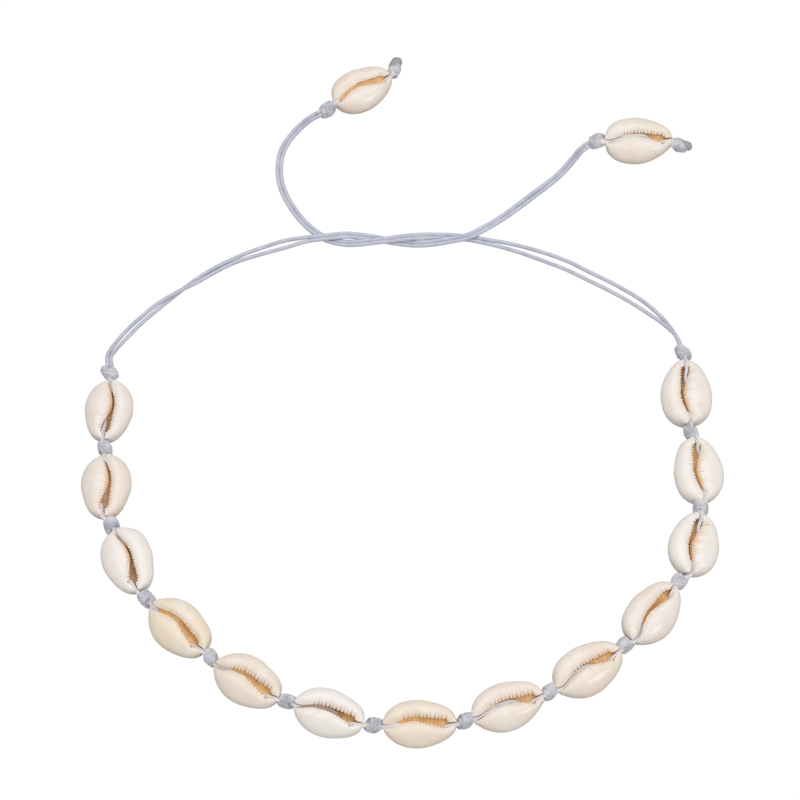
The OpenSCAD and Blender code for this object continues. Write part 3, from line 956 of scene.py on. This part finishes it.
def thread_lines(node, knots):
    """Both strands of the cord in one shell: in its canals, and hidden under a lip between."""
    row, look = SHELL_ROWS[node], LOOKS[node]
    rise, sink = look.rise, look.sink
    c = np.array([
        -1, (sink - 1.1) / 2, sink - 0.1, sink, sink + 0.1,
        rise - 0.16, rise - 0.08, rise + 0.12, (rise + 1.12) / 2, 0.99,
    ])
    middle, gap, up, _, drop = lips(row, look, c)
    y, z = middle.copy(), up - drop - THREAD_R
    z[1] += 0.2 * look.ridge
    hidden = (c > sink + 0.05) & (c < rise - 0.12)
    at_lip = np.isin(c, [sink, rise - 0.08])
    ahead = c > rise
    aside = np.where(c < (sink + rise) / 2, np.sign(look.lean), -1)
    y[hidden] += aside[hidden] * (gap[hidden] / 2 + THREAD_ASIDE)
    z[hidden] -= look.depth + THREAD_UNDER
    y[at_lip] += aside[at_lip] * gap[at_lip] / 2
    z[at_lip] -= 0.5
    y[ahead] -= gap[ahead] * 0.2
    z[ahead] += 0.05
    leant = np.interp(c, [-1, (sink - 1) / 2, sink + 0.04, sink + 0.05], [-0.2, 0.1, 1, 0])
    y += look.lean * gap * leant
    spread = np.interp(
        c, [-1, (sink - 1) / 2, sink, rise - 0.1, rise + 0.1, 1], [0.6, 0.45, 0.25, 0.1, 0.2, 0.5]
    )
    stack = np.interp(c, [-1, -0.8, sink, rise + 0.1, 1], [0.4, 0.35, 0.5, 0.5, 0.5])
    for side in (-1, 1):
        local = np.stack([
            c * row.length / 2, y + look.aside + side * spread / 2, z - (1 + side) / 2 * stack,
        ], axis=1)
        line = placed(row, local, LIFTS[node])
        ends = [knot.middle + [0, 0, -0.35 * side] for knot in knots]
        inner = [end + (near - end) * 0.35 for end, near in zip(ends, (line[0], line[-1]))]
        yield smooth_line(np.concatenate([[inner[0]], line, [inner[1]]]), THREAD_STEP)


def add_threads(name, replaced, shells):
    """The cord in one or more shells, given as pairs of a shell and the knots at its ends."""
    sweeps = []
    for node, knots in shells:
        behind, ahead = FLARES.get(node, FLARE)
        for line in thread_lines(node, knots):
            along = np.linspace(0, THREAD_STEP * len(line), len(line))
            flare = behind * bell(along, FLARE_REACH[0])
            flare = flare + ahead * bell(along[-1] - along, FLARE_REACH[1])
            # Painted shade on a strand where it lies deep in the slot, clear of the knots; the strand
            # swells a little with it.
            stain = LOOKS[node].stain * ramp(along, 1.8, 4.5)
            stain = stain * (1 - ramp(along / along[-1], 0.72, 0.78))
            radius = THREAD_R * (THREAD_FORM[0] + THREAD_FORM[1] * stain + flare)
            surface = sweep(line, radius, THREAD_SIDES)
            sweeps.append((*surface, np.repeat(stain, THREAD_SIDES)))
    return dress(add_sweeps(name, sweeps), THREAD, replaced)


LOOP_ROUTE = [
    (f"shell_{i:02d}", (KNOT_PLACES[f"knot_{i:02d}"], KNOT_PLACES[f"knot_{i + 1:02d}"]))
    for i in range(1, len(LOOP_SHELLS) + 1)
]
add_threads("thread_strands", "shell_thread", LOOP_ROUTE)
for side in END_SHELLS:
    knots = [KNOT_PLACES[f"end_knot_{side}_{where}"] for where in ("inner", "last")]
    add_threads(
        f"end_thread_{side}_strands", f"end_thread_{side}", [(f"end_shell_{side}", knots)]
    )


# Knots

KNOT_R = 2.05
KNOT_SIDES = 16
# Strands of a knot: radius, and how flat they are pressed
KNOT_STRAND_R = 0.58
KNOT_PRESS = 0.16
# Wraps: turns of each strand, radius where it starts, and range of the slant
WRAP_TURNS = 1.95
WRAP_START_R = 0.3
SLANTS = (0.32, 0.55)
CORE_R = 1.25
# Strands over the wraps: angle between them in radians, radius where they start, how far
# their middles lie under the outside, and their thickness over that of the wraps
OVER_LAG = 0.62
OVER_START_R = 0.45
OVER_INSET = 0.36
OVER_THINNER = 0.92
# Seeds of the knots start here, clear of those of the shells.
KNOT_SEED = 100
STUB_SIDES = 24
# The drawn run of a strand into its knot: what its radius gains, and its step
RUN_THICKER = 0.03
RUN_STEP = 0.25


def coil(x, radius, turn):
    """A line round X."""
    return np.stack([x, radius * np.cos(turn), radius * np.sin(turn)], axis=1)


def pressed_sweep(line, radius):
    """A strand round X that is pressed a little flat against the knot under it."""
    ways = line * [0, 1, 1]
    ways = ways / (np.linalg.norm(ways, axis=1)[:, None] + 1e-9)
    return sweep(line, radius, KNOT_SIDES, (ways, KNOT_PRESS))


def knot_sweeps(length, seed):
    """A tight knot of two strands along X: slanting wraps, a core, and two strands over them."""
    rng = np.random.default_rng(KNOT_SEED + seed)
    phase = rng.uniform(0, 2 * math.pi)
    slant = rng.uniform(*SLANTS)
    half = length / 2 - 0.55
    sweeps = []
    u = np.linspace(-1, 1, 110)
    for start in (0, math.pi):
        turn = phase + start + math.pi * WRAP_TURNS * u
        swell = ramp(1 - np.abs(u), 0, 0.16)
        waist = np.sqrt(1 - (0.66 * u) ** 2)
        radius = WRAP_START_R + (KNOT_R - KNOT_STRAND_R - WRAP_START_R) * swell * waist
        x = half * u + slant * radius * np.cos(turn - phase)
        sweeps.append(pressed_sweep(coil(x, radius, turn), KNOT_STRAND_R))
    u = np.linspace(-1, 1, 24)
    core = np.stack([half * u, 0 * u, 0 * u], axis=1)
    sweeps.append(sweep(core, CORE_R * np.sqrt(1 - (0.75 * u) ** 2), KNOT_SIDES))
    u = np.linspace(-1, 1, 50)
    for lag in (0, OVER_LAG):
        turn = phase + 1.9 + lag - 1.15 * u
        swell = np.clip(1 - np.abs(u) ** 3, 0, 1) ** 0.5
        waist = np.sqrt(1 - (0.5 * u) ** 2)
        radius = OVER_START_R + (KNOT_R - OVER_INSET - OVER_START_R) * swell * waist
        x = (length / 2 - 0.15) * u
        sweeps.append(pressed_sweep(coil(x, radius, turn), KNOT_STRAND_R * OVER_THINNER))
    return sweeps


def cut_end(length, radius, reach):
    """The two strands' melted ends, one blunt stub behind a last knot."""
    u = np.linspace(0, 1, 40)
    x = np.linspace(length / 2 - 1.6, length / 2 + reach, len(u))
    line = np.stack([x, 0.12 * np.sin(5 * u), 0 * x], axis=1)
    blunt = np.sqrt(1 - np.clip((u - 0.45) / 0.55, 0, 0.999) ** 2.4)
    stub = sweep(line, radius * (1 + 0.05 * np.sin(9 * u)) * blunt, STUB_SIDES)
    return *stub, np.ones(len(stub[0]))


def runs_in(node, middle):
    """The strands of a tie where they run into a knot."""
    for (tie, _), (_, line, _) in TIES.items():
        near, far = ("knot_01", "right") if tie == "left" else ("knot_14", "left")
        for knot, route in ((near, line), (f"end_knot_{far}_inner", line[::-1])):
            if knot == node:
                run = smooth_line([middle, route[0], route[3]], RUN_STEP)
                yield sweep(run, STRAND_D / 2 + RUN_THICKER, KNOT_SIDES)


def add_knot(node, knot, seed):
    """A knot in its place, with the melted ends of the cord where it is a last one."""
    middle, heading, length = knot
    size, ends = 1, []
    if node in CUT_ENDS:
        heading, size, radius, reach = CUT_ENDS[node]
        middle = middle - 0.5 * reach * np.array([*compass(heading), 0])
        ends = [cut_end(size * length, radius, reach)]
    along = np.array([*compass(heading), 0])
    across = np.array([-along[1], along[0], 0])
    basis = np.stack([along, across, [0, 0, 1]])
    wraps = [(size * points, *rest) for points, *rest in knot_sweeps(length, seed)]
    sweeps = [(points @ basis + middle, *rest) for points, *rest in wraps + ends]
    sweeps += runs_in(node, middle)
    return dress(add_sweeps(node + "_wraps", sweeps), KNOT, node)


KNOTS = {node: add_knot(node, knot, seed) for seed, (node, knot) in enumerate(KNOT_PLACES.items())}

for (tie, letter), (piece, line, length) in TIES.items():
    path = [tuple(p * MM) for p in line[::PATH_STRIDE]]
    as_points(path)


# Camera, floor and light, with places and sizes in metres

LENS_MM, SENSOR_MM = 165, 36
ELEVATION = 66
DISTANCE = 0.953
AIM = (-0.00045, 0.0421, 0.0)
FAR_CLIP = 20
FLOOR_HALF = 6.0
# The shown floor's glow is just over white, and the other one's colour warms the undersides.
FLOOR_GLOW = 1.02
BOUNCE = (0.58, 0.55, 0.52, 1.0)
WORLD_STRENGTH = 0.57


def add_camera():
    """The photograph's view: from the front, high above the necklace."""
    data = bpy.data.cameras.new("camera")
    data.lens = LENS_MM
    data.sensor_width = SENSOR_MM
    data.clip_end = FAR_CLIP
    camera = bpy.data.objects.new("camera", data)
    bpy.context.scene.collection.objects.link(camera)
    elevation = math.radians(ELEVATION)
    away = Vector((0, -math.cos(elevation), math.sin(elevation)))
    camera.location = Vector(AIM) + DISTANCE * away
    camera.rotation_euler = (math.pi / 2 - elevation, 0, 0)
    bpy.context.scene.camera = camera


def add_plane(name, colour, emission):
    """A wide level square, a floor that is no part of the necklace."""
    mesh = bpy.data.meshes.new(name)
    corners = [(FLOOR_HALF * x, FLOOR_HALF * y, 0) for x, y in ((-1, -1), (1, -1), (1, 1), (-1, 1))]
    mesh.from_pydata(corners, [], [(0, 1, 2, 3)])
    floor = bpy.data.objects.new(name, mesh)
    bpy.context.scene.collection.objects.link(floor)
    s = Shader(name + "_paint")
    s.set(Base_Color=colour, Roughness=0.9, Specular_IOR_Level=0.0)
    s.set(Emission_Color=(1.0, 1.0, 1.0, 1.0), Emission_Strength=emission)
    mesh.materials.append(s.material)
    return floor


def add_floor():
    """A white floor that the camera sees without shadows, and a grey one that lights the part."""
    shown = add_plane("floor", (0.0, 0.0, 0.0, 1.0), FLOOR_GLOW)
    lit = add_plane("floor_bounce", BOUNCE, 0.0)
    shown.visible_diffuse = False
    shown.visible_glossy = False
    shown.visible_shadow = False
    lit.visible_camera = False


def add_light(name, place, target, size, power):
    """A round lamp at a place, turned to its target."""
    data = bpy.data.lights.new(name, "AREA")
    data.shape = "DISK"
    data.size = size
    data.energy = power
    lamp = bpy.data.objects.new(name, data)
    lamp.location = place
    lamp.rotation_euler = (Vector(target) - Vector(place)).to_track_quat("-Z", "Y").to_euler()
    bpy.context.scene.collection.objects.link(lamp)


def add_world():
    """Even white light from all round."""
    world = bpy.data.worlds.new("studio")
    world.use_nodes = True
    background = world.node_tree.nodes["Background"]
    background.inputs["Color"].default_value = (1, 1, 1, 1)
    background.inputs["Strength"].default_value = WORLD_STRENGTH
    bpy.context.scene.world = world


add_camera()
add_floor()
add_light("overhead", place=(-0.05, 0.25, 1.3), target=(0.02, 0.04, 0), size=1.5, power=7.0)
add_light("right_glint", place=(0.72, -0.41, 0.94), target=(0, 0.04, 0), size=0.4, power=1.9)
add_world()
bpy.context.scene.view_settings.view_transform = "Standard"
